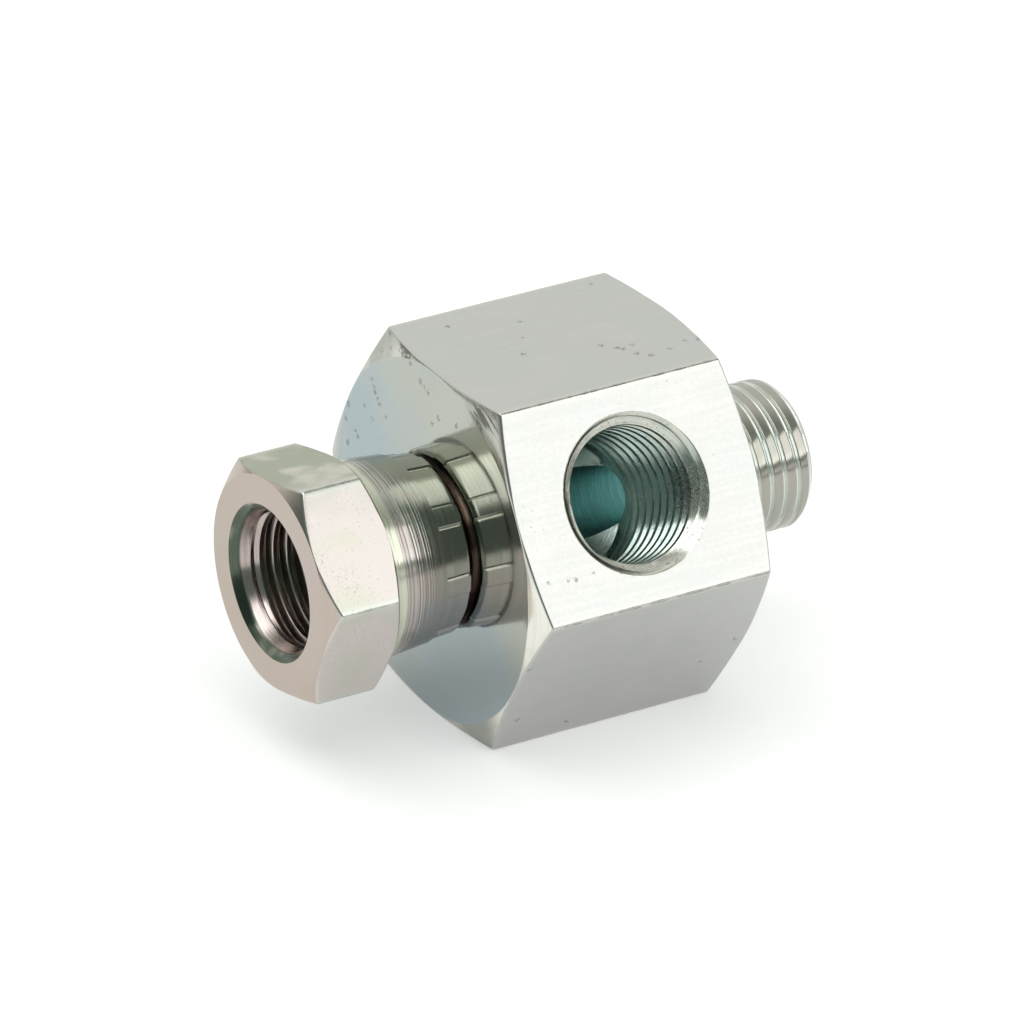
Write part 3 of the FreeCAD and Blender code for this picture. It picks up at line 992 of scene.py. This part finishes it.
body_cone = plated(
    "end cone",
    ((0.45, 0.465, 0.415), (0.94, 0.91, 0.84), (0.66, 0.65, 0.59), 0.2),
    (0.10, 0.16),
    tool_marks(3.6, 0.02, 0.05, 0.0012),
    (2.6, 0.12, 0.80, 0.4),
    # lean: grey on top, nearly white towards -Y: a painted highlight
    lean=((0.0, -0.3, 0.0), -2.6, 0.8),
    nicks=[
        ((-11.2, 5.2, 32.0), 2.9, (2.5, 1.6, 2.5), 0.34),
        ((-11.2, -7.4, 31.1), 5.6, (14.0, 0.25, 0.25), 0.455),
    ],
    spots=[
        (-11.2, 5.5, 32.0, 0.30), (-11.4, 5.4, 31.4, 0.28), (-11.3, 4.3, 31.9, 0.25),
        (-10.9, 8.6, 31.6, 0.22), (-11.1, 7.6, 30.7, 0.20), (-11.1, 9.1, 29.8, 0.20),
        (-11.4, 1.8, 31.9, 0.20),
    ],
)
clean_face = plated(
    "clean face",
    ((0.74, 0.765, 0.73), (0.75, 0.765, 0.72), (0.71, 0.74, 0.71), 0.12),
    (0.08, 0.14),
    tool_marks(3.0, 0.05, 0.05, 0.0005),
    FACE_PITS,
)
stem_finish = plated(
    "stem",
    ((0.50, 0.41, 0.365), (0.48, 0.43, 0.38), (0.46, 0.40, 0.37), 0.3),
    (0.18, 0.28),
    tool_marks(5.0, 0.03, 0.08, 0.0012),
    STUD_PITS,
)
STUD_MARKS = tool_marks(7.0, 0.03, 0.08, 0.0012)
stud_finish = plated(
    "stud crests",
    ((0.44, 0.43, 0.38), (0.45, 0.425, 0.385), (0.42, 0.43, 0.375), 0.35),
    (0.10, 0.16),
    STUD_MARKS,
    STUD_PITS,
)
# Lighter than the crests: a painted highlight in the stud's grooves.
stud_groove_painted_light = plated(
    "stud grooves painted light",
    ((0.76, 0.785, 0.745), (0.76, 0.775, 0.73), (0.73, 0.775, 0.74), 0.35),
    (0.12, 0.18),
    STUD_MARKS,
    STUD_PITS,
)
port_finish = plated(
    "port thread",
    ((0.50, 0.60, 0.56), (0.68, 0.68, 0.61), (0.54, 0.60, 0.555), 0.3),
    (0.12, 0.2),
    tool_marks(6.0, 0.12, 0.16, 0.004, tuple(PORT_OUT.tolist())),
    (5.0, 0.3, 0.68, 0.5),
    lean=(tuple((PORT_OUT / 4.0).tolist()), -4.85, 0.8),
    nicks=[((6.4, -11.8, 22.0), 8.2, (9.0, 9.0, 9.0), 0.43)],
)
bore_finish = plated(
    "flow bore",
    ((0.60, 0.84, 0.82), (0.56, 0.80, 0.80), (0.62, 0.84, 0.81), 0.25),
    (0.26, 0.34),
    tool_marks(3.0, 0.03, 0.08, 0.001),
    (2.0, 0.2, 0.80, 0.3),
)

# %% Finishes of the nut
nut_flat = plated(
    "nut flat",
    ((0.71, 0.65, 0.62), (0.43, 0.447, 0.355), (0.67, 0.645, 0.57), 0.28),
    (0.2, 0.27),
    (drawn_lines, (0.1,), 0.07, 0.0012),
    (6.0, 0.3, 0.685, 0.17),
    # lean: lighter pink on the flats facing -Y, darker olive on the others; beyond the film's tint this
    # is painted light and painted shade
    lean=((0.0, 0.16, 0.0), 1.05, 0.8),
    # edge: a painted shade line along the long edges, and an even band beside it
    edge=(NUT_HALF_FLAT, 0.2, 0.4, 0.9, (0.63, 0.65, 0.60)),
)
nut_turned = plated(
    "nut face",
    ((0.56, 0.465, 0.405), (0.55, 0.475, 0.42), (0.565, 0.475, 0.44), 0.15),
    (0.12, 0.18),
    tool_marks(3.0, 0.05, 0.02, 0.0003),
    (2.4, 0.15, 0.82, 0.35),
)
nut_collar = plated(
    "nut collar",
    ((0.51, 0.455, 0.435), (0.48, 0.495, 0.415), (0.47, 0.49, 0.44), 0.3),
    (0.13, 0.22),
    tool_marks(5.0, 0.02, 0.12, 0.0012),
    NUT_PITS,
    lean=((0.10, 0.0, 0.09), 0.02, 1.0),
)
nut_root = plated(
    "nut collar root",
    ((0.62, 0.64, 0.50), (0.60, 0.63, 0.52), (0.62, 0.61, 0.52), 0.3),
    (0.16, 0.24),
    tool_marks(4.0, 0.02, 0.06, 0.0008),
    NUT_PITS,
)
nut_thread = plated(
    "nut thread",
    # The first colour, near black, lies on the mouth's cone in the first 0.7 mm: painted shade for the
    # dark room that the cone mirrors.
    ((0.11, 0.135, 0.105), (0.60, 0.51, 0.48), (0.52, 0.51, 0.44), 0.25),
    (0.16, 0.26),
    tool_marks(6.0, 0.03, 0.22, 0.003),
    (3.0, 0.3, 0.80, 0.4),
    lean=((6.0, 0.0, 0.0), 160.3, 0.2),
)

# %% [markdown]
# ## Pieces on the frame
# Each skin becomes one object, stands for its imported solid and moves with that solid's body, so the
# nut turns on the stem as the real one does.

# %% Build and attach
body_finishes = [body_flat, body_turned, body_cone, clean_face, stem_finish]
body_finishes += [stud_finish, stud_groove_painted_light, port_finish, bore_finish]
adapter = build_piece("adapter_body_plated", body_skin, body_finishes)
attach(adapter, "body")
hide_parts("adapter_body")

nut_finishes = [nut_flat, nut_turned, nut_collar, nut_root, nut_thread]
swivel = build_piece("swivel_nut_plated", nut_skin, nut_finishes)
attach(swivel, "nut")
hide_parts("swivel_nut")

# %% [markdown]
# ## Camera
# The view is a long lens from the front left and above. Its place and direction were found by
# fitting the corners of the body's hexagon, which a 32 mm hexagon 23.2 mm long puts within a third
# of a pixel.

# %% Camera
CAMERA_PLACE = (-0.394563, -0.640727, 0.414164)
CAMERA_AZIMUTH = math.radians(31.3852)
CAMERA_ELEVATION = math.radians(27.9018)
CAMERA_ROLL = math.radians(1.3016)
CAMERA_LENS = 352.449
SENSOR_WIDTH = 36.0

ahead_x = math.sin(CAMERA_AZIMUTH) * math.cos(CAMERA_ELEVATION)
ahead_y = math.cos(CAMERA_AZIMUTH) * math.cos(CAMERA_ELEVATION)
ahead = Vector((ahead_x, ahead_y, -math.sin(CAMERA_ELEVATION)))
sideways = ahead.cross(Vector((0, 0, 1))).normalized()
above = sideways.cross(ahead)
right = sideways * math.cos(CAMERA_ROLL) + above * math.sin(CAMERA_ROLL)
up = right.cross(ahead)
turn_matrix = Matrix((right, up, -ahead)).transposed()
camera_data = bpy.data.cameras.new("camera")
camera_data.lens = CAMERA_LENS
camera_data.sensor_width = SENSOR_WIDTH
camera_data.clip_start = 0.01
camera = linked("camera", camera_data)
camera.matrix_world = Matrix.Translation(CAMERA_PLACE) @ turn_matrix.to_4x4()
bpy.context.scene.camera = camera

# %% [markdown]
# ## Floor and light
# A pale floor and a soft studio. Polished metal shows its surroundings, so the surroundings are the
# light: a pale room that is darker on the camera's side, low in front and high in front, one large
# soft panel in front on the right, which whitens the port's flat, and a long one overhead that
# reaches out to the left. The floor is white round the object and fades with distance: its colour
# and glow hold a painted pool of light that falls off away from the object.

# %% Floor
FLOOR_HALF = 3.0
floor_mesh = bpy.data.meshes.new("floor")
corners = [(x * FLOOR_HALF, y * FLOOR_HALF, 0) for x, y in ((-1, -1), (1, -1), (1, 1), (-1, 1))]
floor_mesh.from_pydata(corners, [], [(0, 1, 2, 3)])
floor = linked("floor", floor_mesh)

FLOOR_ALBEDO = 0.76
FLOOR_GLOW = 0.40
FLOOR_MIRRORED_GLOW = 0.26
FAR_FLOOR = 0.36
floor_finish = bpy.data.materials.new("pale floor")
board = empty_board(floor_finish)
distance = board.vector("LENGTH", board.place())
# Albedo and glow fall off with distance from the object: a painted pool of light.
near = board.spread(distance, 0.12, 0.6, 1.0, FAR_FLOOR)
pale = board.blend(1.0, (FLOOR_ALBEDO, FLOOR_ALBEDO, FLOOR_ALBEDO, 1.0), near, "MULTIPLY")
diffuse = board.node("BsdfDiffuse", {"Color": pale})
path = board.node("LightPath", output=None)
mirrored = board.math("MAXIMUM", path.outputs["Is Glossy Ray"], path.outputs["Is Transmission Ray"])
mirrored = board.times(mirrored, FLOOR_MIRRORED_GLOW)
seen = board.math("MULTIPLY_ADD", path.outputs["Is Camera Ray"], FLOOR_GLOW, mirrored)
glow = board.node("Emission", {"Strength": board.times(seen, near)})
both = board.node("AddShader", {0: diffuse, 1: glow})
board.node("OutputMaterial", {"Surface": both}, output=None)
floor_mesh.materials.append(floor_finish)

# %% Room and soft panels
PALE_ROOM = (0.90, 0.92, 0.88, 1)
HIGH_ROOM = (0.34, 0.37, 0.33, 1)
DARK_ROOM = (0.15, 0.20, 0.18, 1)
CAMERA_ROOM = (0.15, 0.19, 0.18, 1)
DARK_SIDE = Vector((-0.85, -0.5, 0.1)).normalized()
CAMERA_SIDE = Vector((-0.46, -0.754, 0.468)).normalized()
world = bpy.data.worlds.new("studio")
bpy.context.scene.world = world
board = empty_board(world)
direction = board.node("TexCoord", output="Generated")
split = board.node("SeparateXYZ", {0: direction}, output=None).outputs
forward = board.times(split[1], -1.0)
high = board.times(board.spread(forward, -0.45, 0.4), board.spread(split[2], 0.22, 0.44))
room = board.blend(high, PALE_ROOM, HIGH_ROOM)
toward_dark = board.vector("DOT_PRODUCT", direction, tuple(DARK_SIDE))
room = board.blend(board.spread(toward_dark, 0.2, 0.6), room, DARK_ROOM)
toward_camera = board.vector("DOT_PRODUCT", direction, tuple(CAMERA_SIDE))
room = board.blend(board.spread(toward_camera, 0.8, 0.97), room, CAMERA_ROOM)
near_level = board.spread(split[2], 0.16, 0.3, 0.85, 0.0)
low = board.times(board.spread(forward, 0.2, 0.6), near_level)
low = board.times(low, board.spread(split[2], 0.06, 0.15))
room = board.blend(low, room, DARK_ROOM)
background = board.node("Background", {"Color": room, "Strength": 1.0})
board.node("OutputWorld", {"Surface": background}, output=None)


def soft_panel(name, direction, distance, width, height, radiance):
    """A soft rectangular light that faces the object; its power gives it this radiance."""
    light = bpy.data.lights.new(name, "AREA")
    light.shape = "RECTANGLE"
    light.size = width
    light.size_y = height
    light.energy = radiance * math.pi * width * height
    panel = linked(name, light)
    outward = Vector(direction).normalized()
    panel.location = Vector((0, 0, FLOW_HEIGHT * METRES)) + outward * distance
    panel.rotation_mode = "QUATERNION"
    panel.rotation_quaternion = outward.to_track_quat("Z", "Y")
    panel.visible_camera = False


soft_panel("front panel", (0.448, -0.746, 0.492), 1.3, 1.0, 0.77, 1.36)
soft_panel("overhead panel", (-0.28, -0.16, 0.945), 1.2, 1.66, 0.72, 1.9)
bpy.context.scene.view_settings.view_transform = "Standard"
